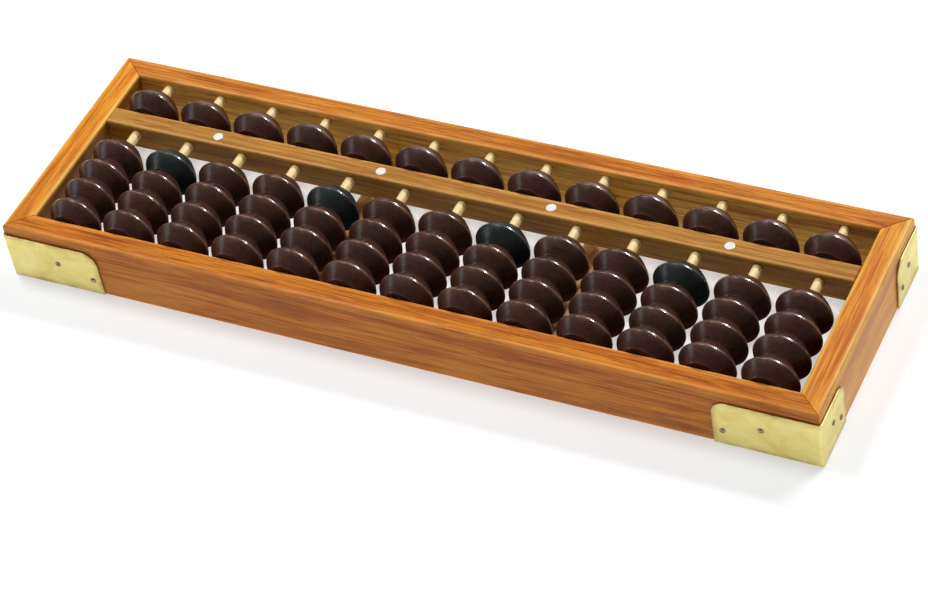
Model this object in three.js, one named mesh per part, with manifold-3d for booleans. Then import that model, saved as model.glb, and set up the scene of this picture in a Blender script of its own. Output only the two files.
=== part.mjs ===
// Abacus with 13 columns: one heaven bead and four earth beads on each bamboo rod, in a mitred wooden frame.
// Millimetres. +X runs along the long side, +Y away from the user, +Z up.
// The origin is the centre of the footprint, on the surface that the frame stands on.
import * as THREE from "three";
import { mergeVertices } from "three/addons/utils/BufferGeometryUtils.js";
import Module from "manifold-3d";

const wasm = await Module();
wasm.setup();

// Frame: four mitred rails of one height.
const FRAME_LENGTH = 300;
const FRAME_DEPTH = 92;
const FRAME_HEIGHT = 23.5;
const SIDE_RAIL_WIDTH = 9.2;
const LONG_RAIL_WIDTH = 8.3;
const MITRE_GAP = 0.3;

// Reckoning beam between the two decks. Its top is level with the frame's top.
const BEAM_FRONT = 12.6;
const BEAM_DEPTH = 7.5;
const BEAM_HEIGHT = 10.4;
const TENON_LENGTH = 4;
const TENON_DEPTH = 4;
const TENON_HEIGHT = 5;
const JOINERY_GAP = 0.3;

// Columns, rods and beads. A bead hangs on its rod, so its middle is a little lower than the rod's.
const COLUMN_COUNT = 13;
const COLUMN_PITCH = 21.45;
const ROD_HEIGHT = 19.6;
const ROD_RADIUS = 1.8;
const ROD_HOLE_RADIUS = 2.1;
const ROD_SOCKET_DEPTH = 5;
const ROD_SOCKET_SPARE = 0.3;
const BEAD_HEIGHT = 19;
const BEAD_RADIUS = 10;
const BEAD_LENGTH = 10.3;
const BEAD_FACE_RADIUS = 6.2;
const BEAD_RIM_WIDTH = 0.7;
const BEAD_BORE_RADIUS = 2.5;
const BEAD_GAP = 0.25;
const EARTH_BEADS = 4;

// Columns whose top earth bead is greenish black, to mark the units.
const UNIT_COLUMNS = [2, 5, 8, 11];
// Columns whose four earth beads are one stack. Elsewhere the top bead is loose above a stack of three.
const WHOLE_STACK_COLUMNS = [1, 7, 13];

// White inlays in the beam's top, each halfway between two columns.
const INLAY_AFTER_COLUMNS = [2, 5, 8, 11];
const INLAY_RADIUS = 1.8;
const INLAY_PROUD = 0.15;

// Thin braces under the beads, let into the undersides of the two long rails.
const BRACE_COLUMNS = [5, 9];
const BRACE_WIDTH = 7;
const BRACE_THICKNESS = 3;
const BRACE_UNDERSIDE = 0.4;
const BRACE_SEAT = 4;

// Brass corner brackets: one strip bent round each corner, with two nails in each leg.
const BRASS_THICKNESS = 0.6;
const BRASS_STANDOFF = 0.1;
const BRACKET_BOTTOM = 0.3;
const BRACKET_TOP = 19.3;
const LONG_LEG = 36.5;
const SHORT_LEG = 20;
const BRACKET_CORNER_RADIUS = 5;
const LONG_LEG_NAILS = [[20, 10.8], [33.2, 6.5]];
const SHORT_LEG_NAILS = [[9.5, 10.8], [16, 6.5]];
const NAIL_HEAD_RADIUS = 1.1;
const NAIL_HEAD_HEIGHT = 0.5;
const NAIL_SHANK_RADIUS = 0.6;
const NAIL_LENGTH = 6;
const NAIL_HOLE_RADIUS = 0.9;
const NAIL_HOLE_SPARE = 0.4;

// Facets round each circular shape.
const BEAD_FACETS = 16;
const ROD_FACETS = 12;
const NAIL_FACETS = 8;
const CORNER_FACETS = 4;

// A cut runs this far past the surface it opens through.
const CUT_OVERRUN = 1;

const halfLength = FRAME_LENGTH / 2;
const halfDepth = FRAME_DEPTH / 2;
const innerHalfLength = halfLength - SIDE_RAIL_WIDTH;
const innerHalfDepth = halfDepth - LONG_RAIL_WIDTH;
const beamBack = BEAM_FRONT + BEAM_DEPTH;
const beamMiddle = BEAM_FRONT + BEAM_DEPTH / 2;
const tenonMiddle = FRAME_HEIGHT - BEAM_HEIGHT / 2;

function finish(color, roughness, metalness = 0) {
  return new THREE.MeshStandardMaterial({ color, roughness, metalness });
}

const finishes = {
  frameWood: finish(0xc8732d, 0.42),
  beamWood: finish(0xc07a35, 0.5),
  braceWood: finish(0xb98a52, 0.7),
  bamboo: finish(0xe1cd96, 0.5),
  beadBrown: finish(0x2f1f1b, 0.3),
  beadGreenBlack: finish(0x1f2a27, 0.3),
  brass: finish(0xd2c878, 0.35, 1),
};

function toSolid(geometry) {
  geometry.deleteAttribute("normal");
  geometry.deleteAttribute("uv");
  const merged = mergeVertices(geometry);
  const vertProperties = new Float32Array(merged.attributes.position.array);
  const triVerts = new Uint32Array(merged.index.array);
  return new wasm.Manifold(new wasm.Mesh({ numProp: 3, vertProperties, triVerts }));
}

function toGeometry(solid) {
  const { vertProperties, triVerts } = solid.getMesh();
  const geometry = new THREE.BufferGeometry();
  geometry.setAttribute("position", new THREE.BufferAttribute(vertProperties, 3));
  geometry.setIndex(new THREE.BufferAttribute(triVerts, 1));
  geometry.computeVertexNormals();
  return geometry;
}

function cutAll(geometry, cutters) {
  const body = toSolid(geometry);
  const cut = cutters.reduce((rest, cutter) => rest.subtract(toSolid(cutter)), body);
  return toGeometry(cut);
}

function joinAll(geometries) {
  const [first, ...others] = geometries.map(toSolid);
  return toGeometry(others.reduce((joined, next) => joined.add(next), first));
}

function block(from, to) {
  const size = to.map((high, axis) => high - from[axis]);
  const middle = to.map((high, axis) => (high + from[axis]) / 2);
  return new THREE.BoxGeometry(...size).translate(...middle);
}

function named(name, geometry, material) {
  const mesh = new THREE.Mesh(geometry, material);
  mesh.name = name;
  return mesh;
}

function columnX(column) {
  return (column - (COLUMN_COUNT + 1) / 2) * COLUMN_PITCH;
}

function columns() {
  return Array.from({ length: COLUMN_COUNT }, (_, index) => index + 1);
}

function twoDigits(number) {
  return String(number).padStart(2, "0");
}

// A prism with the given plan outline, as tall as the frame.
function railPrism(outline) {
  const shape = new THREE.Shape(outline.map(([x, y]) => new THREE.Vector2(x, y)));
  return new THREE.ExtrudeGeometry(shape, { depth: FRAME_HEIGHT, bevelEnabled: false });
}

// Hole along Y that starts at y = from and ends at y = to.
function holeAlongY(x, z, radius, from, to, facets) {
  const hole = new THREE.CylinderGeometry(radius, radius, to - from, facets);
  return hole.translate(x, (from + to) / 2, z);
}

function holeAlongX(y, z, radius, from, to, facets) {
  const hole = new THREE.CylinderGeometry(radius, radius, to - from, facets);
  return hole.rotateZ(Math.PI / 2).translate((from + to) / 2, y, z);
}

// Nail holes in the outer face of a long rail (side is -1 at the front and 1 at the back).
function longRailNailHoles(side) {
  const mouth = side * (halfDepth + CUT_OVERRUN);
  const bottom = side * (halfDepth - NAIL_LENGTH - NAIL_HOLE_SPARE);
  const [from, to] = [mouth, bottom].sort((a, b) => a - b);
  return [-1, 1].flatMap((end) =>
    LONG_LEG_NAILS.map(([reach, z]) =>
      holeAlongY(end * (halfLength - reach), z, NAIL_HOLE_RADIUS, from, to, NAIL_FACETS)));
}

function sideRailNailHoles(side) {
  const mouth = side * (halfLength + CUT_OVERRUN);
  const bottom = side * (halfLength - NAIL_LENGTH - NAIL_HOLE_SPARE);
  const [from, to] = [mouth, bottom].sort((a, b) => a - b);
  return [-1, 1].flatMap((end) =>
    SHORT_LEG_NAILS.map(([reach, z]) =>
      holeAlongX(end * (halfDepth - reach), z, NAIL_HOLE_RADIUS, from, to, NAIL_FACETS)));
}

// Front rail (side -1) or back rail (side 1): mitred prism with blind rod sockets and brace notches.
function longRail(side) {
  const outerY = side * halfDepth;
  const innerY = side * innerHalfDepth;
  const outline = [
    [-halfLength + MITRE_GAP, outerY],
    [halfLength - MITRE_GAP, outerY],
    [innerHalfLength - MITRE_GAP, innerY],
    [-innerHalfLength + MITRE_GAP, innerY],
  ];
  const socketMouth = side * (innerHalfDepth - CUT_OVERRUN);
  const socketBottom = side * (innerHalfDepth + ROD_SOCKET_DEPTH);
  const [from, to] = [socketMouth, socketBottom].sort((a, b) => a - b);
  const sockets = columns().map((column) =>
    holeAlongY(columnX(column), ROD_HEIGHT, ROD_HOLE_RADIUS, from, to, ROD_FACETS));
  const notches = BRACE_COLUMNS.map((column) => braceNotch(column, side));
  return cutAll(railPrism(outline), [...sockets, ...notches, ...longRailNailHoles(side)]);
}

function braceNotch(column, side) {
  const halfWidth = BRACE_WIDTH / 2 + JOINERY_GAP;
  const mouth = side * (innerHalfDepth - CUT_OVERRUN);
  const end = side * (innerHalfDepth + BRACE_SEAT + JOINERY_GAP);
  const [from, to] = [mouth, end].sort((a, b) => a - b);
  const top = BRACE_UNDERSIDE + BRACE_THICKNESS + JOINERY_GAP;
  const x = columnX(column);
  return block([x - halfWidth, from, -CUT_OVERRUN], [x + halfWidth, to, top]);
}

// Left rail (side -1) or right rail (side 1): mitred prism with a mortise for the beam's tenon.
function sideRail(side) {
  const outline = [
    [side * halfLength, -halfDepth],
    [side * halfLength, halfDepth],
    [side * innerHalfLength, innerHalfDepth],
    [side * innerHalfLength, -innerHalfDepth],
  ];
  const mouth = side * (innerHalfLength - CUT_OVERRUN);
  const end = side * (innerHalfLength + TENON_LENGTH + JOINERY_GAP);
  const [from, to] = [mouth, end].sort((a, b) => a - b);
  const halfTenonDepth = TENON_DEPTH / 2 + JOINERY_GAP;
  const halfTenonHeight = TENON_HEIGHT / 2 + JOINERY_GAP;
  const mortise = block(
    [from, beamMiddle - halfTenonDepth, tenonMiddle - halfTenonHeight],
    [to, beamMiddle + halfTenonDepth, tenonMiddle + halfTenonHeight]);
  return cutAll(railPrism(outline), [mortise, ...sideRailNailHoles(side)]);
}

// Beam: a square bar with a tenon at each end, a hole for each rod, and four inlays in its top.
function reckoningBeam() {
  const halfBeam = innerHalfLength - JOINERY_GAP;
  const bar = block([-halfBeam, BEAM_FRONT, FRAME_HEIGHT - BEAM_HEIGHT], [halfBeam, beamBack, FRAME_HEIGHT]);
  const halfTenoned = innerHalfLength + TENON_LENGTH;
  const tenons = block(
    [-halfTenoned, beamMiddle - TENON_DEPTH / 2, tenonMiddle - TENON_HEIGHT / 2],
    [halfTenoned, beamMiddle + TENON_DEPTH / 2, tenonMiddle + TENON_HEIGHT / 2]);
  const from = BEAM_FRONT - CUT_OVERRUN;
  const to = beamBack + CUT_OVERRUN;
  const holes = columns().map((column) =>
    holeAlongY(columnX(column), ROD_HEIGHT, ROD_HOLE_RADIUS, from, to, ROD_FACETS));
  return cutAll(joinAll([bar, tenons, ...INLAY_AFTER_COLUMNS.map(unitInlay)]), holes);
}

function unitInlay(column) {
  const sunk = 1;
  const inlay = new THREE.CylinderGeometry(INLAY_RADIUS, INLAY_RADIUS, sunk + INLAY_PROUD, ROD_FACETS);
  const x = columnX(column) + COLUMN_PITCH / 2;
  return inlay.rotateX(Math.PI / 2).translate(x, beamMiddle, FRAME_HEIGHT + (INLAY_PROUD - sunk) / 2);
}

function rod(column) {
  const reach = innerHalfDepth + ROD_SOCKET_DEPTH - ROD_SOCKET_SPARE;
  const bar = new THREE.CylinderGeometry(ROD_RADIUS, ROD_RADIUS, 2 * reach, ROD_FACETS);
  return bar.translate(columnX(column), 0, ROD_HEIGHT);
}

function brace(column) {
  const x = columnX(column);
  const reach = innerHalfDepth + BRACE_SEAT;
  const top = BRACE_UNDERSIDE + BRACE_THICKNESS;
  return block([x - BRACE_WIDTH / 2, -reach, BRACE_UNDERSIDE], [x + BRACE_WIDTH / 2, reach, top]);
}

// Beads in a row on one rod, face to face. Each is two cones that meet at a narrow rim.
function beads(column, start, count) {
  const end = start + count * BEAD_LENGTH;
  const profile = [new THREE.Vector2(BEAD_BORE_RADIUS, start), new THREE.Vector2(BEAD_FACE_RADIUS, start)];
  for (let bead = 0; bead < count; bead += 1) {
    const rim = start + (bead + 0.5) * BEAD_LENGTH;
    profile.push(new THREE.Vector2(BEAD_RADIUS, rim - BEAD_RIM_WIDTH / 2));
    profile.push(new THREE.Vector2(BEAD_RADIUS, rim + BEAD_RIM_WIDTH / 2));
    profile.push(new THREE.Vector2(BEAD_FACE_RADIUS, rim + BEAD_LENGTH / 2));
  }
  profile.push(new THREE.Vector2(BEAD_BORE_RADIUS, end));
  profile.push(profile[0].clone());
  const turned = new THREE.LatheGeometry(profile, BEAD_FACETS);
  return turned.translate(columnX(column), 0, BEAD_HEIGHT);
}

function heavenBead(column) {
  return beads(column, beamBack + BEAD_GAP, 1);
}

// The stack that lies against the front rail.
function earthStack(column, count) {
  return beads(column, -innerHalfDepth + BEAD_GAP, count);
}

function topEarthBead(column) {
  const stackEnd = -innerHalfDepth + BEAD_GAP + (EARTH_BEADS - 1) * BEAD_LENGTH;
  return beads(column, stackEnd + BEAD_GAP, 1);
}

// Leg of a bracket, standing on edge: u runs from the corner to the free end, whose upper corner is rounded.
function legPlate(reach, direction, bend) {
  const shape = new THREE.Shape();
  const shoulder = reach - BRACKET_CORNER_RADIUS;
  shape.moveTo(-direction * bend, BRACKET_BOTTOM);
  shape.lineTo(direction * reach, BRACKET_BOTTOM);
  shape.lineTo(direction * reach, BRACKET_TOP - BRACKET_CORNER_RADIUS);
  for (let step = 1; step <= CORNER_FACETS; step += 1) {
    const turn = (step / CORNER_FACETS) * (Math.PI / 2);
    const u = shoulder + BRACKET_CORNER_RADIUS * Math.cos(turn);
    const z = BRACKET_TOP - BRACKET_CORNER_RADIUS * (1 - Math.sin(turn));
    shape.lineTo(direction * u, z);
  }
  shape.lineTo(-direction * bend, BRACKET_TOP);
  return new THREE.ExtrudeGeometry(shape, { depth: BRASS_THICKNESS, bevelEnabled: false });
}

// Round-headed nail along Y, its head's underside at y = 0 and its shank pointing to -Y.
function nail() {
  const profile = [
    [0, -NAIL_LENGTH],
    [NAIL_SHANK_RADIUS, -NAIL_LENGTH],
    [NAIL_SHANK_RADIUS, 0],
    [NAIL_HEAD_RADIUS, 0],
    [NAIL_HEAD_RADIUS * 0.7, NAIL_HEAD_HEIGHT * 0.75],
    [0, NAIL_HEAD_HEIGHT],
  ].map(([radius, y]) => new THREE.Vector2(radius, y));
  return new THREE.LatheGeometry(profile, NAIL_FACETS);
}

// Bracket on the corner in direction (endX, endY), with its nails.
function cornerBracket(endX, endY) {
  const bend = BRASS_STANDOFF + BRASS_THICKNESS;
  const outerX = endX * (halfLength + BRASS_STANDOFF + BRASS_THICKNESS / 2);
  const outerY = endY * (halfDepth + BRASS_STANDOFF + BRASS_THICKNESS / 2);
  const longLeg = legPlate(LONG_LEG, -endX, bend)
    .translate(0, 0, -BRASS_THICKNESS / 2)
    .rotateX(Math.PI / 2)
    .translate(endX * halfLength, outerY, 0);
  const upright = new THREE.Matrix4().makeBasis(
    new THREE.Vector3(0, 1, 0), new THREE.Vector3(0, 0, 1), new THREE.Vector3(1, 0, 0));
  const shortLeg = legPlate(SHORT_LEG, -endY, bend)
    .translate(0, 0, -BRASS_THICKNESS / 2)
    .applyMatrix4(upright)
    .translate(outerX, endY * halfDepth, 0);
  const faceX = outerX + endX * BRASS_THICKNESS / 2;
  const faceY = outerY + endY * BRASS_THICKNESS / 2;
  const longNails = LONG_LEG_NAILS.map(([reach, z]) => nail()
    .rotateX(endY < 0 ? Math.PI : 0)
    .translate(endX * (halfLength - reach), faceY, z));
  const shortNails = SHORT_LEG_NAILS.map(([reach, z]) => nail()
    .rotateZ(-endX * Math.PI / 2)
    .translate(faceX, endY * (halfDepth - reach), z));
  return joinAll([longLeg, shortLeg, ...longNails, ...shortNails]);
}

function frameParts() {
  const group = new THREE.Group();
  group.add(named("front_rail", longRail(-1), finishes.frameWood));
  group.add(named("back_rail", longRail(1), finishes.frameWood));
  group.add(named("left_rail", sideRail(-1), finishes.frameWood));
  group.add(named("right_rail", sideRail(1), finishes.frameWood));
  group.add(named("reckoning_beam", reckoningBeam(), finishes.beamWood));
  group.add(named("left_brace", brace(BRACE_COLUMNS[0]), finishes.braceWood));
  group.add(named("right_brace", brace(BRACE_COLUMNS[1]), finishes.braceWood));
  return group;
}

function bracketParts() {
  const group = new THREE.Group();
  group.add(named("bracket_front_left", cornerBracket(-1, -1), finishes.brass));
  group.add(named("bracket_front_right", cornerBracket(1, -1), finishes.brass));
  group.add(named("bracket_back_left", cornerBracket(-1, 1), finishes.brass));
  group.add(named("bracket_back_right", cornerBracket(1, 1), finishes.brass));
  return group;
}

function columnParts(column) {
  const group = new THREE.Group();
  const label = twoDigits(column);
  group.add(named(`rod_${label}`, rod(column), finishes.bamboo));
  group.add(named(`heaven_bead_${label}`, heavenBead(column), finishes.beadBrown));
  if (WHOLE_STACK_COLUMNS.includes(column)) {
    group.add(named(`earth_stack_${label}`, earthStack(column, EARTH_BEADS), finishes.beadBrown));
    return group;
  }
  const topFinish = UNIT_COLUMNS.includes(column) ? finishes.beadGreenBlack : finishes.beadBrown;
  group.add(named(`earth_stack_${label}`, earthStack(column, EARTH_BEADS - 1), finishes.beadBrown));
  group.add(named(`earth_bead_top_${label}`, topEarthBead(column), topFinish));
  return group;
}

const abacus = new THREE.Group();
abacus.add(frameParts(), bracketParts(), ...columns().map(columnParts));

export default abacus;
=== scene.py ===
import math
import random

import bmesh
import bpy
from mathutils import Matrix, Quaternion, Vector


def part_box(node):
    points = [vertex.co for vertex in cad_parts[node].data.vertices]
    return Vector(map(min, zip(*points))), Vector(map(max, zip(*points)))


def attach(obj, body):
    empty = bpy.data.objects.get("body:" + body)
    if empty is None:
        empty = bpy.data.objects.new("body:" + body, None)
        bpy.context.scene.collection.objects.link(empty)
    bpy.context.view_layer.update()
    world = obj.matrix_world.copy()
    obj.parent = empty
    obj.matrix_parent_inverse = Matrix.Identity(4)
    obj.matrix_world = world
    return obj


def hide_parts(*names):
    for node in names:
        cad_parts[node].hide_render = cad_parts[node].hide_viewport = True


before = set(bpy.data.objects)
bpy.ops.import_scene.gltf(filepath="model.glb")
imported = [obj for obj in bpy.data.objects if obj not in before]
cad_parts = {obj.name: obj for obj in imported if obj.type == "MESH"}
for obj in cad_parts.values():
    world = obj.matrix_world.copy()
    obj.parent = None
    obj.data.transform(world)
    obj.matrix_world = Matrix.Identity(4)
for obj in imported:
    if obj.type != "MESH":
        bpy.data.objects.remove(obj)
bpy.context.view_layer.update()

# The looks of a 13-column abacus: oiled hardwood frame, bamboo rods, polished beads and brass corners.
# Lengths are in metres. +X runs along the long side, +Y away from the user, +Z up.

MM = 0.001
ALONG_X = Vector((1, 0, 0))
ALONG_Y = Vector((0, 1, 0))
UP = Vector((0, 0, 1))
rng = random.Random(13)
scene = bpy.context.scene

# ---------------------------------------------------------------- sizes worked out from the frame

LEFT_LOW, LEFT_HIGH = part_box("left_rail")
FRONT_LOW, FRONT_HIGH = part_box("front_rail")
BEAM_LOW, BEAM_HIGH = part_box("reckoning_beam")
ROD_LOW, ROD_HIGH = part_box("rod_07")
BEAD_LOW, BEAD_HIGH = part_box("heaven_bead_07")

HALF_LENGTH = -LEFT_LOW.x
HALF_DEPTH = LEFT_HIGH.y
HEIGHT = LEFT_HIGH.z
SIDE_WIDTH = LEFT_HIGH.x - LEFT_LOW.x
LONG_WIDTH = FRONT_HIGH.y - FRONT_LOW.y
INNER_HALF_LENGTH = HALF_LENGTH - SIDE_WIDTH
INNER_HALF_DEPTH = HALF_DEPTH - LONG_WIDTH
ROD_RADIUS = (ROD_HIGH.x - ROD_LOW.x) / 2
ROD_AXIS = (ROD_HIGH.z + ROD_LOW.z) / 2
BEAD_AXIS = (BEAD_HIGH.z + BEAD_LOW.z) / 2
BEAD_RADIUS = (BEAD_HIGH.x - BEAD_LOW.x) / 2
BEAD_LENGTH = BEAD_HIGH.y - BEAD_LOW.y
COLUMN_COUNT = 13
MIDDLE_COLUMN = 7
COLUMNS = range(1, COLUMN_COUNT + 1)
COLUMN_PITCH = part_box("rod_08")[0].x - ROD_LOW.x
UNIT_COLUMNS = (2, 5, 8, 11)
EARTH_BEADS = 4


def column_x(column):
    """The rod's place along X. The middle column stands at 0."""
    return (column - MIDDLE_COLUMN) * COLUMN_PITCH


# ---------------------------------------------------------------- shader node helpers


def add(tree, kind, inputs=None, **settings):
    """Adds a node. inputs maps a socket's name or index to a value, or to another node's output."""
    made = tree.nodes.new(kind)
    for key, value in settings.items():
        setattr(made, key, value)
    for key, value in (inputs or {}).items():
        socket = made.inputs[key]
        if isinstance(value, bpy.types.NodeSocket):
            tree.links.new(value, socket)
        else:
            socket.default_value = value
    return made


def attribute(tree, name):
    return add(tree, "ShaderNodeAttribute", attribute_name=name)


def scaled(tree, vector, factors):
    return add(tree, "ShaderNodeVectorMath", {0: vector, 1: factors}, operation="MULTIPLY").outputs[0]


def noise(tree, vector, scale, detail=4.0, roughness=0.55, distortion=0.0):
    inputs = {
        "Vector": vector,
        "Scale": scale,
        "Detail": detail,
        "Roughness": roughness,
        "Distortion": distortion,
    }
    return add(tree, "ShaderNodeTexNoise", inputs).outputs["Fac"]


def drawn_out(tree, vector, factors, detail=4.0, roughness=0.55, distortion=0.0):
    """Noise on a scaled vector. The smaller an axis's factor, the longer the marks along that axis."""
    return noise(tree, scaled(tree, vector, factors), 1.0, detail, roughness, distortion)


def calc(tree, operation, first, second):
    return add(tree, "ShaderNodeMath", {0: first, 1: second}, operation=operation).outputs[0]


def times(tree, first, second):
    return calc(tree, "MULTIPLY", first, second)


def ramp(tree, factor, stops):
    """Colour ramp. stops is a list of (position, grey level or colour)."""
    made = add(tree, "ShaderNodeValToRGB", {0: factor})
    elements = made.color_ramp.elements
    while len(elements) < len(stops):
        elements.new(0.5)
    for element, (position, colour) in zip(elements, stops):
        element.position = position
        grey = isinstance(colour, (int, float))
        element.color = (colour, colour, colour, 1) if grey else (*colour, 1)
    return made.outputs[0]


MIX_FACTOR, MIX_FIRST, MIX_SECOND, MIX_RESULT = 0, 6, 7, 2


def mixed(tree, factor, first, second, blend="MIX"):
    """Mixes two colours. The numbers above are the mix node's colour sockets."""
    made = add(tree, "ShaderNodeMix", data_type="RGBA", blend_type=blend)
    for index, value in ((MIX_FACTOR, factor), (MIX_FIRST, first), (MIX_SECOND, second)):
        socket = made.inputs[index]
        if isinstance(value, bpy.types.NodeSocket):
            tree.links.new(value, socket)
        else:
            socket.default_value = (*value, 1) if isinstance(value, tuple) else value
    return made.outputs[MIX_RESULT]


def shaded(tree, factor, colour, field, stops):
    """Darkens the colour by a ramp of the field, with the given weight."""
    return mixed(tree, factor, colour, ramp(tree, field, stops), "MULTIPLY")


def bump(tree, height, strength, distance):
    inputs = {"Height": height, "Strength": strength, "Distance": distance}
    return add(tree, "ShaderNodeBump", inputs).outputs[0]


def new_material(name):
    material = bpy.data.materials.new(name)
    material.use_nodes = True
    tree = material.node_tree
    shader = tree.nodes["Principled BSDF"]
    return material, tree, shader


def connect(tree, shader, **sockets):
    """Links or sets sockets of the shader. Underscores stand for the spaces in a socket's name."""
    for key, value in sockets.items():
        socket = shader.inputs[key.replace("_", " ")]
        if isinstance(value, bpy.types.NodeSocket):
            tree.links.new(value, socket)
        else:
            socket.default_value = value


# ---------------------------------------------------------------- materials

# Noise on the board attribute has factors per millimetre. Noise on object places has factors per metre.


def wood_colour(tree, board, fibre, pores, pale, middle, dark):
    """Broad bands of three tones, with dark streaks, fine fibres, faint blotches and pores."""
    bands = drawn_out(tree, board, (0.014, 0.34, 0.26), 5.0, 0.6, 0.9)
    streak = drawn_out(tree, board, (0.050, 1.9, 1.7), 5.0, 0.65, 0.4)
    blotch = drawn_out(tree, board, (0.03, 0.08, 0.08), 2.0, 0.5)
    streak_mask = ramp(tree, streak, [(0.48, 0.0), (0.64, 0.9)])
    colour = ramp(tree, bands, [(0.30, dark), (0.44, middle), (0.56, pale), (0.68, middle)])
    colour = mixed(tree, streak_mask, colour, dark)
    colour = shaded(tree, 0.5, colour, fibre, [(0.3, 0.62), (0.7, 1.0)])
    colour = shaded(tree, 0.35, colour, blotch, [(0.35, 0.7), (0.65, 1.0)])
    return mixed(tree, times(tree, pores, 0.45), colour, tuple(c * 0.35 for c in dark))


def wood_material(name, pale, middle, dark, inner_painted_shading, rough=0.40, coat=0.05, shine=0.25):
    """Oiled hardwood. The board attribute holds millimetres: along the grain, across it, and up."""
    material, tree, shader = new_material(name)
    board = attribute(tree, "board").outputs["Vector"]
    edge = attribute(tree, "edge").outputs["Fac"]
    inner = attribute(tree, "inner").outputs["Fac"]
    fibre = drawn_out(tree, board, (0.16, 6.0, 6.0), 3.0, 0.6)
    pore_field = drawn_out(tree, board, (0.35, 5.5, 5.5), 2.0, 0.5, 0.15)
    pores = ramp(tree, pore_field, [(0.60, 0.0), (0.70, 1.0)])
    colour = wood_colour(tree, board, fibre, pores, pale, middle, dark)
    # Edges are painted paler, in places more than in others: partly rubbed wear, partly a painted highlight
    # along the rounded edges.
    wear_and_highlight_field = drawn_out(tree, board, (0.05, 0.2, 0.2), 3.0)
    rub = ramp(tree, wear_and_highlight_field, [(0.36, 0.35), (0.60, 1.0)])
    worn_and_highlit = tuple(min(1.0, c * 1.25 + 0.05) for c in pale)
    colour = mixed(tree, times(tree, edge, rub), colour, worn_and_highlit)
    # Inner faces are a little rougher, and their tint is painted shade and light: darker on the side rails,
    # slightly darker and more olive on the beam, brighter and more olive on the long rails.
    colour = mixed(tree, inner, colour, inner_painted_shading, "MULTIPLY")
    roughness = ramp(tree, fibre, [(0.25, rough - 0.06), (0.75, rough + 0.12)])
    roughness = mixed(tree, times(tree, inner, 0.5), roughness, (0.75, 0.75, 0.75))
    relief = calc(tree, "SUBTRACT", times(tree, fibre, 0.35), pores)
    normal = bump(tree, relief, 0.35, 0.06 * MM)
    connect(tree, shader, Base_Color=colour, Roughness=roughness, Normal=normal,
            Coat_Weight=coat, Coat_Roughness=0.22, IOR=1.5, Specular_IOR_Level=shine)
    return material


def bamboo_material():
    """Pale split bamboo: straight fibres along Y with darker bundles and a few scuffs."""
    material, tree, shader = new_material("bamboo")
    board = attribute(tree, "board").outputs["Vector"]
    fibre = drawn_out(tree, board, (0.03, 5.0, 5.0), 4.0, 0.6)
    bundle = drawn_out(tree, board, (0.10, 9.0, 9.0), 2.0, 0.5)
    patch = drawn_out(tree, board, (0.06, 0.3, 0.3), 2.0, 0.5)
    tones = [(0.30, (0.80, 0.54, 0.20)), (0.50, (0.96, 0.74, 0.35)), (0.72, (0.98, 0.86, 0.52))]
    colour = ramp(tree, fibre, tones)
    flecks = ramp(tree, bundle, [(0.64, 0.0), (0.74, 0.7)])
    colour = mixed(tree, flecks, colour, (0.36, 0.22, 0.08))
    colour = shaded(tree, 0.4, colour, patch, [(0.35, 0.80), (0.65, 1.0)])
    normal = bump(tree, fibre, 0.3, 0.05 * MM)
    roughness = ramp(tree, bundle, [(0.3, 0.36), (0.7, 0.56)])
    connect(tree, shader, Base_Color=colour, Roughness=roughness, Normal=normal,
            Coat_Weight=0.05, Coat_Roughness=0.3, Specular_IOR_Level=0.3)
    return material


def bead_material(name, deep, streak_colour, worn_colour):
    """Stained and polished turned wood. The rim is worn, and each bead's grain has its own cut and turn."""
    material, tree, shader = new_material(name)
    unturned = add(tree, "ShaderNodeTexCoord").outputs["Object"]
    piece = add(tree, "ShaderNodeObjectInfo").outputs["Random"]
    about_rod = {"Vector": unturned, "Angle": times(tree, piece, 2 * math.pi)}
    place = add(tree, "ShaderNodeVectorRotate", about_rod, rotation_type="Y_AXIS").outputs[0]
    offsets = {"X": times(tree, piece, 0.9), "Y": piece, "Z": piece}
    shift = add(tree, "ShaderNodeCombineXYZ", offsets).outputs[0]
    cut = add(tree, "ShaderNodeVectorMath", {0: place, 1: shift}, operation="ADD").outputs[0]
    edge = attribute(tree, "edge").outputs["Fac"]
    grain = drawn_out(tree, cut, (700.0, 700.0, 60.0), 5.0, 0.6, 0.6)
    fine = drawn_out(tree, cut, (2600.0, 2600.0, 260.0), 3.0, 0.6)
    cloud = noise(tree, cut, 130.0, 2.0, 0.5)
    turning = drawn_out(tree, place, (60.0, 2600.0, 60.0), 2.0, 0.5)
    colour = ramp(tree, grain, [(0.36, deep), (0.56, streak_colour), (0.72, deep)])
    colour = shaded(tree, 0.5, colour, cloud, [(0.35, 0.55), (0.65, 1.0)])
    colour = shaded(tree, 0.4, colour, fine, [(0.3, 0.6), (0.7, 1.0)])
    rub = ramp(tree, noise(tree, cut, 260.0, 3.0), [(0.40, 0.15), (0.62, 0.9)])
    colour = mixed(tree, times(tree, edge, rub), colour, worn_colour)
    roughness = ramp(tree, fine, [(0.3, 0.30), (0.7, 0.46)])
    relief = calc(tree, "ADD", times(tree, grain, 0.6), times(tree, turning, 0.5))
    normal = bump(tree, relief, 0.22, 0.05 * MM)
    # Fingers polish the upper half and its rim. The underside keeps a dull, dusty surface.
    outward = add(tree, "ShaderNodeNewGeometry").outputs["Normal"]
    facing = add(tree, "ShaderNodeSeparateXYZ", {0: outward})
    handled = ramp(tree, facing.outputs["Z"], [(0.0, 0.0), (0.45, 1.0)])
    polish = times(tree, handled, calc(tree, "ADD", times(tree, edge, 0.85), 0.15))
    roughness = mixed(tree, handled, (0.8, 0.8, 0.8), roughness)
    connect(tree, shader, Base_Color=colour, Roughness=roughness, Normal=normal, Coat_Weight=polish,
            Coat_Roughness=0.10, IOR=1.5, Specular_IOR_Level=times(tree, handled, 0.35))
    return material


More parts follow.
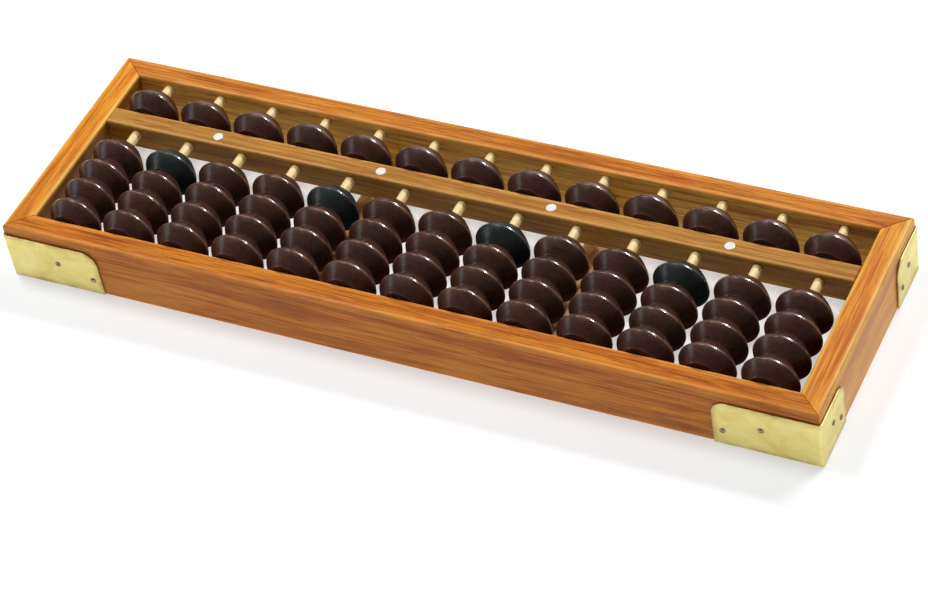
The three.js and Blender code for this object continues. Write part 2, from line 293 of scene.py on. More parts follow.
def brass_material():
    """Rolled brass strip, brushed along its length, with tarnish towards the edges."""
    material, tree, shader = new_material("brass")
    board = attribute(tree, "board").outputs["Vector"]
    edge = attribute(tree, "edge").outputs["Fac"]
    brush = drawn_out(tree, board, (0.10, 7.0, 7.0), 5.0, 0.7)
    cloud = drawn_out(tree, board, (0.11, 0.16, 0.16), 4.0, 0.6, 0.4)
    spots = drawn_out(tree, board, (0.9, 0.9, 0.9), 3.0, 0.6)
    scratch_field = drawn_out(tree, board, (0.6, 9.0, 3.0), 1.0, 0.4, 1.2)
    scratches = ramp(tree, scratch_field, [(0.66, 0.0), (0.70, 1.0)])
    tones = [(0.30, (0.76, 0.62, 0.18)), (0.50, (0.86, 0.73, 0.25)), (0.72, (0.92, 0.81, 0.34))]
    colour = ramp(tree, cloud, tones)
    colour = mixed(tree, ramp(tree, spots, [(0.62, 0.0), (0.76, 0.4)]), colour, (0.44, 0.35, 0.12))
    colour = shaded(tree, 0.35, colour, brush, [(0.3, 0.72), (0.7, 1.0)])
    tarnish = times(tree, edge, ramp(tree, cloud, [(0.35, 0.85), (0.65, 0.25)]))
    colour = mixed(tree, tarnish, colour, (0.34, 0.25, 0.09))
    colour = mixed(tree, times(tree, scratches, 0.35), colour, (0.95, 0.90, 0.55))
    roughness = ramp(tree, brush, [(0.3, 0.34), (0.7, 0.50)])
    relief = calc(tree, "SUBTRACT", times(tree, brush, 0.5), scratches)
    normal = bump(tree, relief, 0.18, 0.03 * MM)
    connect(tree, shader, Base_Color=colour, Metallic=0.92, Roughness=roughness, Normal=normal)
    return material


def nail_material():
    """Small steel nails, dulled and brown in the hollows."""
    material, tree, shader = new_material("nail_steel")
    place = add(tree, "ShaderNodeTexCoord").outputs["Object"]
    mottled = noise(tree, place, 900.0, 4.0, 0.6)
    colour = ramp(tree, mottled, [(0.35, (0.16, 0.11, 0.07)), (0.6, (0.42, 0.37, 0.27))])
    roughness = ramp(tree, mottled, [(0.3, 0.6), (0.7, 0.36)])
    normal = bump(tree, mottled, 0.3, 0.04 * MM)
    connect(tree, shader, Base_Color=colour, Metallic=0.85, Roughness=roughness, Normal=normal)
    return material


def inlay_material():
    """White bone-like plug with faint grey-cream clouding."""
    material, tree, shader = new_material("white_inlay")
    place = add(tree, "ShaderNodeTexCoord").outputs["Object"]
    cloud = noise(tree, place, 420.0, 4.0, 0.6, 0.5)
    specks = noise(tree, place, 2600.0, 2.0, 0.5)
    colour = ramp(tree, cloud, [(0.32, (0.78, 0.74, 0.64)), (0.6, (0.93, 0.92, 0.88))])
    colour = mixed(tree, ramp(tree, specks, [(0.66, 0.0), (0.76, 0.4)]), colour, (0.45, 0.38, 0.28))
    roughness = ramp(tree, cloud, [(0.3, 0.30), (0.7, 0.20)])
    normal = bump(tree, specks, 0.12, 0.03 * MM)
    connect(tree, shader, Base_Color=colour, Roughness=roughness, Normal=normal,
            Subsurface_Weight=0.15, Subsurface_Scale=1.0 * MM, Coat_Weight=0.3, Coat_Roughness=0.1)
    return material


FLOOR_GLOW = 0.50


def floor_material():
    """White light-table top: it glows faintly, so that it stays pale under the frame."""
    material, tree, shader = new_material("pale_floor")
    place = add(tree, "ShaderNodeTexCoord").outputs["Object"]
    cloud = noise(tree, place, 6.0, 3.0, 0.5)
    colour = ramp(tree, cloud, [(0.3, (0.62, 0.63, 0.65)), (0.7, (0.65, 0.66, 0.67))])
    connect(tree, shader, Base_Color=colour, Roughness=0.9, Specular_IOR_Level=0.1,
            Emission_Color=(1, 1, 1, 1), Emission_Strength=FLOOR_GLOW)
    return material


# The inner tint of each rail and beam wood is painted shade and light for its inner faces, which sit inside
# the frame among the beads.
SIDE_WOOD = wood_material(
    "side_rail_wood",
    pale=(0.98, 0.44, 0.040),
    middle=(0.86, 0.285, 0.015),
    dark=(0.50, 0.105, 0.007),
    inner_painted_shading=(0.42, 0.42, 0.34),
    coat=0.12,
    shine=0.25,
)
FRONT_WOOD = wood_material(
    "front_rail_wood",
    pale=(0.78, 0.28, 0.024),
    middle=(0.60, 0.155, 0.011),
    dark=(0.28, 0.050, 0.006),
    inner_painted_shading=(0.95, 1.55, 1.1),
    coat=0.05,
    shine=0.15,
)
BACK_WOOD = wood_material(
    "back_rail_wood",
    pale=(0.82, 0.33, 0.048),
    middle=(0.67, 0.205, 0.024),
    dark=(0.33, 0.068, 0.010),
    inner_painted_shading=(1.20, 1.75, 1.60),
    coat=0.05,
    shine=0.15,
)
BEAM_WOOD = wood_material(
    "beam_wood",
    pale=(0.64, 0.32, 0.066),
    middle=(0.51, 0.215, 0.037),
    dark=(0.30, 0.10, 0.017),
    inner_painted_shading=(0.90, 0.90, 0.46),
    coat=0.10,
    shine=0.15,
)
BRACE_WOOD = wood_material(
    "brace_wood",
    pale=(0.96, 0.62, 0.28),
    middle=(0.88, 0.52, 0.20),
    dark=(0.66, 0.34, 0.12),
    inner_painted_shading=(0.9, 0.9, 0.9),
    rough=0.6,
    coat=0.0,
)
BAMBOO = bamboo_material()
BEAD_BROWN = bead_material(
    "bead_brown",
    deep=(0.046, 0.0140, 0.0090),
    streak_colour=(0.080, 0.027, 0.017),
    worn_colour=(0.24, 0.12, 0.075),
)
BEAD_GREEN = bead_material(
    "bead_green_black",
    deep=(0.0075, 0.0125, 0.0120),
    streak_colour=(0.016, 0.026, 0.024),
    worn_colour=(0.08, 0.095, 0.08),
)
BRASS = brass_material()
NAIL = nail_material()
INLAY = inlay_material()

# ---------------------------------------------------------------- mesh helpers

GRAIN_LENGTH_MM = 900
GRAIN_DEPTH_MM = 90


def grain_shift():
    """A chance place in the board's millimetres, which keeps the grain of two pieces apart."""
    along = rng.uniform(0, GRAIN_LENGTH_MM)
    across = rng.uniform(0, GRAIN_DEPTH_MM)
    up = rng.uniform(0, GRAIN_DEPTH_MM)
    return Vector((along, across, up))


def smooth_but_for(mesh, sharp):
    """Smooth shading, with sharp edges where faces meet at more than the angle in degrees."""
    mesh.shade_smooth()
    mesh.set_sharp_from_angle(angle=math.radians(sharp))


def mesh_of(name, bm, material):
    """Turns a bmesh into a mesh of one material, and frees the bmesh."""
    mesh = bpy.data.meshes.new(name)
    bm.to_mesh(mesh)
    bm.free()
    mesh.materials.append(material)
    return mesh


def new_object(name, data):
    """A mesh, light or camera, placed in the scene."""
    made = bpy.data.objects.new(name, data)
    scene.collection.objects.link(made)
    return made


def finish_piece(name, bm, material, body, replaced=(), sharp=35.0):
    """Turns a bmesh into a piece that rides on a body, smooth apart from edges sharper than the angle."""
    bmesh.ops.recalc_face_normals(bm, faces=bm.faces)
    mesh = mesh_of(name, bm, material)
    smooth_but_for(mesh, sharp)
    piece = new_object(name, mesh)
    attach(piece, body)
    if replaced:
        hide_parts(*replaced)
    return piece


def write_attributes(piece, board_of, edge_of=None, inner_of=None):
    """Stores the board, edge and inner attributes from each vertex's place."""
    mesh = piece.data
    places = [vertex.co.copy() for vertex in mesh.vertices]
    board = mesh.attributes.new("board", "FLOAT_VECTOR", "POINT")
    board.data.foreach_set("vector", [value for place in places for value in board_of(place)])
    for name, measure in (("edge", edge_of), ("inner", inner_of)):
        if measure:
            made = mesh.attributes.new(name, "FLOAT", "POINT")
            made.data.foreach_set("value", [measure(place) for place in places])


CORNER_STEPS = 5


def rounded_section(width, height, top_radius, bottom_radius):
    """Closed outline (across, up) of a bar, with its corners rounded. Across runs from 0 to width."""
    corners = (
        (bottom_radius, bottom_radius, bottom_radius, 180),
        (width - bottom_radius, bottom_radius, bottom_radius, 270),
        (width - top_radius, height - top_radius, top_radius, 0),
        (top_radius, height - top_radius, top_radius, 90),
    )
    outline = []
    for across, up, radius, start in corners:
        turns = [math.radians(start + 90 * step / CORNER_STEPS) for step in range(CORNER_STEPS + 1)]
        arc = [(across + radius * math.cos(turn), up + radius * math.sin(turn)) for turn in turns]
        # One point on the flat to either side, where the edge's wear and painted highlight end.
        first, last = arc[0], arc[-1]
        before = (first[0] + radius * math.sin(turns[0]), first[1] - radius * math.cos(turns[0]))
        after = (last[0] - radius * math.sin(turns[-1]), last[1] + radius * math.cos(turns[-1]))
        outline.extend([before, *arc, after])
    return outline


def loft(bm, rings):
    """Skins rings of equal length, and closes both ends."""
    made = [[bm.verts.new(point) for point in ring] for ring in rings]
    count = len(made[0])
    for first, second in zip(made, made[1:]):
        for index in range(count):
            after = (index + 1) % count
            bm.faces.new((first[index], first[after], second[after], second[index]))
    bm.faces.new(made[0])
    bm.faces.new(list(reversed(made[-1])))


def shrunk(ring, amount):
    """The ring moved in by amount towards its middle, in the ring's own plane."""
    middle = sum(ring, Vector()) / len(ring)
    reach = max((point - middle).length for point in ring)
    return [middle + (point - middle) * (1 - amount / reach) for point in ring]


CUTTER_SEGMENTS = 28


def cylinder_cutter(bm, start, end, radius):
    """Adds a closed cylinder between two points, to be carved out later."""
    axis = (end - start).normalized()
    turn = UP.rotation_difference(axis).to_matrix().to_4x4()
    place = Matrix.Translation((start + end) / 2) @ turn
    bmesh.ops.create_cone(bm, cap_ends=True, segments=CUTTER_SEGMENTS, radius1=radius, radius2=radius,
                          depth=(end - start).length, matrix=place)


def box_cutter(bm, low, high):
    """Adds a box between two corners, to be carved out later."""
    size = [high[i] - low[i] for i in range(3)]
    middle = [(high[i] + low[i]) / 2 for i in range(3)]
    bmesh.ops.create_cube(bm, size=1.0, matrix=Matrix.Translation(middle) @ Matrix.Diagonal((*size, 1)))


def carve(piece, cutter_bm):
    """Cuts the cutters out of the piece, and drops the cutters."""
    mesh = bpy.data.meshes.new("cutter")
    cutter_bm.to_mesh(mesh)
    cutter_bm.free()
    cutter = new_object("cutter", mesh)
    modifier = piece.modifiers.new("carve", "BOOLEAN")
    modifier.operation = "DIFFERENCE"
    modifier.solver = "EXACT"
    modifier.object = cutter
    apply_modifiers(piece)
    bpy.data.objects.remove(cutter)


def apply_modifiers(piece):
    """Puts the result of the piece's modifiers in its mesh, and leaves no modifier on it."""
    bpy.context.view_layer.update()
    graph = bpy.context.evaluated_depsgraph_get()
    mesh = bpy.data.meshes.new_from_object(piece.evaluated_get(graph), depsgraph=graph)
    piece.modifiers.clear()
    piece.data = mesh


# ---------------------------------------------------------------- frame

EDGE_RADIUS = 1.1 * MM
# How far from a rail's rounded edge the wear and the painted highlight reach.
RAIL_WEAR_AND_HIGHLIGHT_REACH = 1.6 * EDGE_RADIUS
FOOT_RADIUS = 0.5 * MM
MITRE_GROOVE = 0.22 * MM
MITRE_SEAM = 0.04 * MM
SOCKET_CLEARANCE = 0.12 * MM
SOCKET_DEPTH = 5.0 * MM
CUT_OVERRUN = 1 * MM
NOTCH_SLACK = 0.15 * MM
NOTCH_HEADROOM = 0.1 * MM
FACE_TOLERANCE = 0.05 * MM
BAR_SHARP_ANGLE = 28
BAR_END_EASE = 0.3 * MM
STATIONS = 24


def rail_rings(half_outer, width, mitre_run, place):
    """Rings of a mitred rail. place turns (along, across, up) into a point; across 0 is the outer face."""
    section = rounded_section(width, HEIGHT, EDGE_RADIUS, FOOT_RADIUS)
    slope = mitre_run / width

    def ring(share, setback):
        points = []
        for across, up in section:
            reach = half_outer - MITRE_SEAM - setback - across * slope
            points.append(place(share * reach, across, up))
        return points

    shares = [-1 + 2 * index / STATIONS for index in range(STATIONS + 1)]
    rings = [ring(share, MITRE_GROOVE) for share in shares]
    first = shrunk(ring(-1, 0), MITRE_GROOVE)
    last = shrunk(ring(1, 0), MITRE_GROOVE)
    return [first, *rings, last]


def near_corner(across, up, width):
    """1 on a rounded edge of a rail, 0 away from it."""
    beside = min(across, width - across)
    below = min(up, HEIGHT - up)
    return max(0.0, 1 - math.hypot(beside, below) / RAIL_WEAR_AND_HIGHLIGHT_REACH)


def rod_sockets(cutters, side):
    """Blind holes for the rods' ends in a long rail."""
    for column in COLUMNS:
        start = Vector((column_x(column), side * (INNER_HALF_DEPTH - CUT_OVERRUN), ROD_AXIS))
        end = Vector((column_x(column), side * (INNER_HALF_DEPTH + SOCKET_DEPTH), ROD_AXIS))
        cylinder_cutter(cutters, start, end, ROD_RADIUS + SOCKET_CLEARANCE)


def brace_notches(cutters, side):
    """Notches for the braces' ends in the underside of a long rail."""
    for brace in ("left_brace", "right_brace"):
        low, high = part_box(brace)
        reach = [side * (INNER_HALF_DEPTH - CUT_OVERRUN), side * (high.y + NOTCH_SLACK)]
        notch_low = (low.x - NOTCH_SLACK, min(reach), -CUT_OVERRUN)
        notch_high = (high.x + NOTCH_SLACK, max(reach), high.z + NOTCH_HEADROOM)
        box_cutter(cutters, notch_low, notch_high)


def long_rail(side, name, material):
    """Front rail (side -1) or back rail (side 1)."""
    def place(along, across, up):
        return Vector((along, side * (HALF_DEPTH - across), up))

    def across_of(point):
        return HALF_DEPTH - side * point.y

    bm = bmesh.new()
    loft(bm, rail_rings(HALF_LENGTH, LONG_WIDTH, SIDE_WIDTH, place))
    piece = finish_piece(name, bm, material, "frame", [name])
    cutters = bmesh.new()
    rod_sockets(cutters, side)
    brace_notches(cutters, side)
    carve(piece, cutters)
    finish_bar(piece, across_of, LONG_WIDTH, ALONG_X)


def side_rail(side, name):
    """Left rail (side -1) or right rail (side 1)."""
    def place(along, across, up):
        return Vector((side * (HALF_LENGTH - across), along, up))

    def across_of(point):
        return HALF_LENGTH - side * point.x

    bm = bmesh.new()
    loft(bm, rail_rings(HALF_DEPTH, SIDE_WIDTH, LONG_WIDTH, place))
    piece = finish_piece(name, bm, SIDE_WOOD, "frame", [name])
    finish_bar(piece, across_of, SIDE_WIDTH, ALONG_Y)


def finish_bar(piece, across_of, width, along):
    """Shades a rail, and stores its grain, its edges (worn, with a painted highlight) and its inner face (for
    painted shade and light).
    """
    shift = grain_shift()
    smooth_but_for(piece.data, BAR_SHARP_ANGLE)
    below_edge = HEIGHT - 0.9 * EDGE_RADIUS

    def board_of(p):
        return Vector((p.dot(along), across_of(p), p.z)) / MM + shift

    def edge_of(p):
        return near_corner(across_of(p), p.z, width)

    def inner_of(p):
        return 1.0 if across_of(p) > width - FACE_TOLERANCE and p.z < below_edge else 0.0

    write_attributes(piece, board_of, edge_of, inner_of)


def straight_bar(name, low, high, material, top_radius, bottom_radius, along, replaced):
    """A square bar between two corners, with rounded long edges and slightly eased ends."""
    size = high - low
    ease = BAR_END_EASE
    axis = 0 if along.x else 1
    width = size.y if axis == 0 else size.x
    section = rounded_section(width, size.z, top_radius, bottom_radius)

    def point(reach, across, up):
        if axis == 0:
            return Vector((reach, low.y + across, low.z + up))
        return Vector((low.x + across, reach, low.z + up))

    start, end = low[axis], high[axis]
    run = end - start - 2 * ease
    places = [start + ease + run * index / STATIONS for index in range(STATIONS + 1)]
    rings = [[point(reach, across, up) for across, up in section] for reach in places]
    first = shrunk([point(start, across, up) for across, up in section], ease)
    last = shrunk([point(end, across, up) for across, up in section], ease)
    bm = bmesh.new()
    loft(bm, [first, *rings, last])
    return finish_piece(name, bm, material, "frame", replaced)


INLAY_RADIUS = 1.8 * MM
INLAY_PROUD = 0.14 * MM
INLAY_DEPTH = 0.9 * MM
INLAY_SEAT_DEPTH = 1 * MM
INLAY_SEAT_SLACK = 0.06 * MM
INLAY_SEGMENTS = 40
BEAM_END_SLACK = 0.05 * MM
BEAM_TOP_RADIUS = 0.8 * MM
BEAM_FOOT_RADIUS = 0.6 * MM
# How far from the beam's top edges the wear and the painted highlight reach.
BEAM_WEAR_AND_HIGHLIGHT_REACH = 1.3 * MM
BEAM_FACE_TOLERANCE = 0.02 * MM


def reckoning_beam():
    """The beam between the side rails, pierced by the rods and by the four inlay seats."""
    low = Vector((-INNER_HALF_LENGTH + BEAM_END_SLACK, BEAM_LOW.y, BEAM_LOW.z))
    high = Vector((INNER_HALF_LENGTH - BEAM_END_SLACK, BEAM_HIGH.y, HEIGHT))
    piece = straight_bar("reckoning_beam", low, high, BEAM_WOOD, BEAM_TOP_RADIUS,
                         BEAM_FOOT_RADIUS, ALONG_X, ["reckoning_beam"])
    cutters = bmesh.new()
    for column in COLUMNS:
        start = Vector((column_x(column), low.y - CUT_OVERRUN, ROD_AXIS))
        end = Vector((column_x(column), high.y + CUT_OVERRUN, ROD_AXIS))
        cylinder_cutter(cutters, start, end, ROD_RADIUS + SOCKET_CLEARANCE)
    seat = UP * INLAY_SEAT_DEPTH
    for place in inlay_places():
        cylinder_cutter(cutters, place - seat, place + seat, INLAY_RADIUS + INLAY_SEAT_SLACK)
    carve(piece, cutters)
    smooth_but_for(piece.data, BAR_SHARP_ANGLE)
    shift = grain_shift()
    middle = (low.y + high.y) / 2
    half = (high.y - low.y) / 2

    def edge_of(p):
        return max(0.0, 1 - math.hypot(half - abs(p.y - middle), high.z - p.z) / BEAM_WEAR_AND_HIGHLIGHT_REACH)

    def inner_of(p):
        return 1.0 if abs(abs(p.y - middle) - half) < BEAM_FACE_TOLERANCE else 0.0

    write_attributes(piece, lambda p: p / MM + shift, edge_of, inner_of)


def inlay_places():
    """Midway between each unit column and the column to its right, on top of the beam."""
    middle = (BEAM_LOW.y + BEAM_HIGH.y) / 2
    return [Vector((column_x(column) + COLUMN_PITCH / 2, middle, HEIGHT)) for column in UNIT_COLUMNS]


def turned(bm, profile, segments, axis_place, frame_matrix, edges=None):
    """Revolves (radius, height) points round a local axis. A point of radius 0 closes the end."""
    layer = bm.verts.layers.float.new("edge") if edges else None
    rings = []
    for index, (radius, height) in enumerate(profile):
        count = 1 if radius == 0 else segments
        ring = []
        for step in range(count):
            turn = 2 * math.pi * step / segments
            local = Vector((radius * math.sin(turn), radius * math.cos(turn), height))
            vertex = bm.verts.new(axis_place + frame_matrix @ local)
            if layer:
                vertex[layer] = edges[index]
            ring.append(vertex)
        rings.append(ring)
    return rings


def skin(bm, rings, closed):
    """Faces between neighbouring rings. A ring of one vertex gets a fan."""
    pairs = list(zip(rings, rings[1:]))
    if closed:
        pairs.append((rings[-1], rings[0]))
    for first, second in pairs:
        count = max(len(first), len(second))
        for index in range(count):
            after = (index + 1) % count
            if len(first) == 1:
                bm.faces.new((first[0], second[index], second[after]))
            elif len(second) == 1:
                bm.faces.new((first[index], first[after], second[0]))
            else:
                bm.faces.new((first[index], first[after], second[after], second[index]))


DOME_STEPS = 6
DOME_FLATNESS = 0.6


def dome_profile(radius, height, depth):
    """A plug with a rounded shoulder and a shallow domed top."""
    points = [(0, -depth), (radius, -depth), (radius, 0)]
    for step in range(1, DOME_STEPS + 1):
        turn = math.pi / 2 * step / DOME_STEPS
        reach = radius * math.cos(turn) ** DOME_FLATNESS if step < DOME_STEPS else 0
        points.append((reach, height * math.sin(turn)))
    return points


def unit_inlays():
    """Four white plugs in the beam's top. They stand for a part of the beam's CAD node."""
    upright = Matrix.Identity(3)
    profile = dome_profile(INLAY_RADIUS, INLAY_PROUD, INLAY_DEPTH)
    for number, place in enumerate(inlay_places(), start=1):
        bm = bmesh.new()
        skin(bm, turned(bm, profile, INLAY_SEGMENTS, place, upright), False)
        finish_piece(f"unit_inlay_{number}", bm, INLAY, "frame", ["reckoning_beam"])


BRACE_TOP_RADIUS = 0.5 * MM
BRACE_FOOT_RADIUS = 0.3 * MM


def write_grain_along_y(piece):
    """Stores the board attribute of a piece whose grain runs front to back."""
    shift = grain_shift()
    write_attributes(piece, lambda p: Vector((p.y, p.x, p.z)) / MM + shift)


def braces():
    """Two thin bars under the beads, let into the long rails."""
    for name in ("left_brace", "right_brace"):
        low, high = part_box(name)
        piece = straight_bar(name, low, high, BRACE_WOOD, BRACE_TOP_RADIUS,
                             BRACE_FOOT_RADIUS, ALONG_Y, [name])
        write_grain_along_y(piece)


ROD_SEGMENTS = 40
ROD_STATIONS = 36
ROD_FULLNESS = 0.962
ROD_SHARP_ANGLE = 50


def rod_radius(turn, share, phases):
    """Two faint lobes round the section, and two faint waves along the rod."""
    flat = 0.018 * math.sin(2 * turn + phases[0]) + 0.012 * math.sin(3 * turn + phases[1])
    wave = 0.010 * math.sin(9 * share + phases[2]) + 0.008 * math.sin(23 * share + phases[3])
    return ROD_RADIUS * (ROD_FULLNESS + flat + wave)


def rod_rings(column, low, high, phases):
    """Rings of points from the rod's front end to its back end."""
    rings = []
    for station in range(ROD_STATIONS + 1):
        share = station / ROD_STATIONS
        y = low.y + (high.y - low.y) * share
        ring = []
        for step in range(ROD_SEGMENTS):
            turn = 2 * math.pi * step / ROD_SEGMENTS
            radius = rod_radius(turn, share, phases)
            across, up = radius * math.sin(turn), radius * math.cos(turn)
            ring.append(Vector((column_x(column) + across, y, ROD_AXIS + up)))
        rings.append(ring)
    return rings


def rods():
    """Bamboo rods: nearly round, each with a slightly different section."""
    for column in COLUMNS:
        name = f"rod_{column:02d}"
        low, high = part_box(name)
        phases = [rng.uniform(0, 2 * math.pi) for _ in range(4)]
        bm = bmesh.new()
        loft(bm, rod_rings(column, low, high, phases))
        piece = finish_piece(name, bm, BAMBOO, "frame", [name], sharp=ROD_SHARP_ANGLE)
        write_grain_along_y(piece)


# ---------------------------------------------------------------- brass corners

SHEET_THICKNESS = 0.5 * MM
SHEET_ROWS = 10
BEND_RADIUS = 1.1 * MM
CORNER_RADIUS = 5.0 * MM
CURVE_STEPS = 10
LONG_STEPS = 16
BEND_STEPS = 8
SHORT_STEPS = 8
DENT_DEPTH = 0.05 * MM
DENT_LENGTH = 6.1 * MM
DENT_HEIGHT = 5.3 * MM
RIM_BEVEL = 0.14 * MM
RIM_BEVEL_ANGLE = 50
BRASS_SHARP_ANGLE = 35
BRASS_TARNISH_REACH = 2.2 * MM
BRUSH_SLANT = 0.3
NAIL_RADIUS = 1.1 * MM
NAIL_HEIGHT = 0.5 * MM
NAIL_SUNK = 0.12 * MM
NAIL_DEPTH = 0.3 * MM
NAIL_SEGMENTS = 28
# Each nail's distance from the frame's corner, and its height.
LONG_NAILS = ((20.0 * MM, 10.8 * MM), (33.2 * MM, 6.5 * MM))
SHORT_NAILS = ((9.5 * MM, 10.8 * MM), (16.0 * MM, 6.5 * MM))


class Strip:
    """A bracket's strip, as a path from its long leg's free end to its short leg's.

    All its lengths are for the corner at +X, +Y.
    """

    def __init__(self, name):
        low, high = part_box(name)
        self.outer_x = max(abs(low.x), abs(high.x)) - NAIL_HEIGHT
        self.outer_y = max(abs(low.y), abs(high.y)) - NAIL_HEIGHT
        self.long_free = min(abs(low.x), abs(high.x))
        self.short_free = min(abs(low.y), abs(high.y))
        self.bottom = low.z
        self.top = high.z
        self.long_run = self.outer_x - BEND_RADIUS - self.long_free
        self.bend_run = BEND_RADIUS * math.pi / 2
        self.short_run = self.outer_y - BEND_RADIUS - self.short_free
        self.total = self.long_run + self.bend_run + self.short_run

    def place_at(self, run):
        """Point and outward direction of the strip's outer face."""
        if run < self.long_run:
            return Vector((self.long_free + run, self.outer_y, 0)), ALONG_Y
        if run < self.long_run + self.bend_run:
            turn = (run - self.long_run) / BEND_RADIUS
            outward = Vector((math.sin(turn), math.cos(turn), 0))
            centre = Vector((self.outer_x - BEND_RADIUS, self.outer_y - BEND_RADIUS, 0))
            return centre + outward * BEND_RADIUS, outward
        past_bend = run - self.long_run - self.bend_run
        return Vector((self.outer_x, self.outer_y - BEND_RADIUS - past_bend, 0)), ALONG_X

    def top_at(self, run):
        """Height of the strip, whose free upper corners are rounded."""
        spare = CORNER_RADIUS - min(run, self.total - run)
        if spare <= 0:
            return self.top
        return self.top - CORNER_RADIUS + math.sqrt(max(0.0, CORNER_RADIUS**2 - spare**2))

    def runs(self):
        """Places along the strip, closer together at its rounded corners and its bend."""
        quarter = [math.pi / 2 * step / CURVE_STEPS for step in range(CURVE_STEPS + 1)]
        curved = [CORNER_RADIUS * (1 - math.cos(turn)) for turn in quarter]
        long_flat = self.long_run - CORNER_RADIUS
        short_flat = self.short_run - CORNER_RADIUS
        flat_long = [CORNER_RADIUS + long_flat * step / LONG_STEPS for step in range(1, LONG_STEPS + 1)]
        bend_end = self.long_run + self.bend_run
        bend = [self.long_run + self.bend_run * step / BEND_STEPS for step in range(1, BEND_STEPS + 1)]
        flat_short = [bend_end + short_flat * step / SHORT_STEPS for step in range(1, SHORT_STEPS + 1)]
        return curved + flat_long + bend + flat_short + [self.total - run for run in reversed(curved[:-1])]

    def run_of(self, point):
        """Place along the strip of a point near it, in any of the four corners."""
        if abs(point.x) < self.outer_x - BEND_RADIUS:
            run = abs(point.x) - self.long_free
        else:
            run = self.total - (abs(point.y) - self.short_free)
        return min(max(run, 0.0), self.total)


def dent_at(run, z, end_x, end_y):
    """Slight hollows in the strip, different at each corner."""
    wave = math.sin(run / DENT_LENGTH + 3 * end_x) * math.sin(z / DENT_HEIGHT + end_y)
    return DENT_DEPTH * (1 + wave)


def bracket_sheet(strip, end_x, end_y):
    """The strip's outer face, as a grid of faces."""
    bm = bmesh.new()
    grid = []
    for run in strip.runs():
        place, outward = strip.place_at(run)
        column = []
        for row in range(SHEET_ROWS + 1):
            z = strip.bottom + (strip.top_at(run) - strip.bottom) * row / SHEET_ROWS
            point = place - outward * dent_at(run, z, end_x, end_y)
            column.append(bm.verts.new((end_x * point.x, end_y * point.y, z)))
        grid.append(column)
    for first, second in zip(grid, grid[1:]):
        for row in range(SHEET_ROWS):
            bm.faces.new((first[row], second[row], second[row + 1], first[row + 1]))
    if end_x * end_y < 0:
        bmesh.ops.reverse_faces(bm, faces=bm.faces)
    return bm


def thicken(piece, end_y):
    """Gives the sheet its thickness on the inside, and eases its rim."""
    thick = piece.modifiers.new("thick", "SOLIDIFY")
    thick.thickness = SHEET_THICKNESS
    thick.offset = -outward_sign(piece.data, end_y)
    eased = piece.modifiers.new("eased", "BEVEL")
    eased.width = RIM_BEVEL
    eased.segments = 2
    eased.limit_method = "ANGLE"
    eased.angle_limit = math.radians(RIM_BEVEL_ANGLE)
    apply_modifiers(piece)
    smooth_but_for(piece.data, BRASS_SHARP_ANGLE)


def outward_sign(mesh, end_y):
    """1 when the sheet's faces already look outwards."""
    looks_out = mesh.polygons[0].normal.dot(ALONG_Y * end_y) > 0
    return 1.0 if looks_out else -1.0


def bracket(end_x, end_y, name):
    """One brass strip bent round a corner of the frame. Its free upper corners are rounded."""
    strip = Strip(name)
    piece = new_object(name, mesh_of(name, bracket_sheet(strip, end_x, end_y), BRASS))
    thicken(piece, end_y)
    shift = grain_shift()

    def edge_of(p):
        run = strip.run_of(p)
        from_rim = min(p.z - strip.bottom, strip.top_at(run) - p.z, run, strip.total - run)
        return max(0.0, 1 - from_rim / BRASS_TARNISH_REACH)

    def board_of(p):
        run = abs(p.x) + strip.outer_y - abs(p.y)
        across = abs(p.x) * BRUSH_SLANT + abs(p.y) * BRUSH_SLANT
        return Vector((run, across, p.z)) / MM + shift

    write_attributes(piece, board_of, edge_of)
    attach(piece, "frame")
    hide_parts(name)
    corner_nails(name, end_x, end_y, strip)


def corner_nails(name, end_x, end_y, strip):
    """Domed nails: two through the long leg and two through the short leg of a bracket."""
    long_face = end_y * (strip.outer_y - NAIL_SUNK)
    short_face = end_x * (strip.outer_x - NAIL_SUNK)
    places = []
    for reach, z in LONG_NAILS:
        places.append((Vector((end_x * (HALF_LENGTH - reach), long_face, z)), ALONG_Y * end_y))
    for reach, z in SHORT_NAILS:
        places.append((Vector((short_face, end_y * (HALF_DEPTH - reach), z)), ALONG_X * end_x))
    profile = dome_profile(NAIL_RADIUS, NAIL_HEIGHT, NAIL_DEPTH)
    for number, (place, outward) in enumerate(places, start=1):
        turn = UP.rotation_difference(outward).to_matrix()
        bm = bmesh.new()
        skin(bm, turned(bm, profile, NAIL_SEGMENTS, place, turn), False)
        nail = name.replace("bracket", "nail") + f"_{number}"
        finish_piece(nail, bm, NAIL, "frame", [name])


# ---------------------------------------------------------------- beads

RIM_FLAT = 0.27 * MM
RIM_EASE = 0.11 * MM
FACE_RADIUS = 6.2 * MM
FACE_EASE = 0.28 * MM
BORE_RADIUS = 2.45 * MM
BORE_CHAMFER = 0.35 * MM
BEAD_SEGMENTS = 72
BEAD_SHARP_ANGLE = 40
CONE_STEPS = 12
LEAST_BULGE, MOST_BULGE = 0.26, 0.36
LEAST_SIZE, MOST_SIZE = 0.988, 0.999


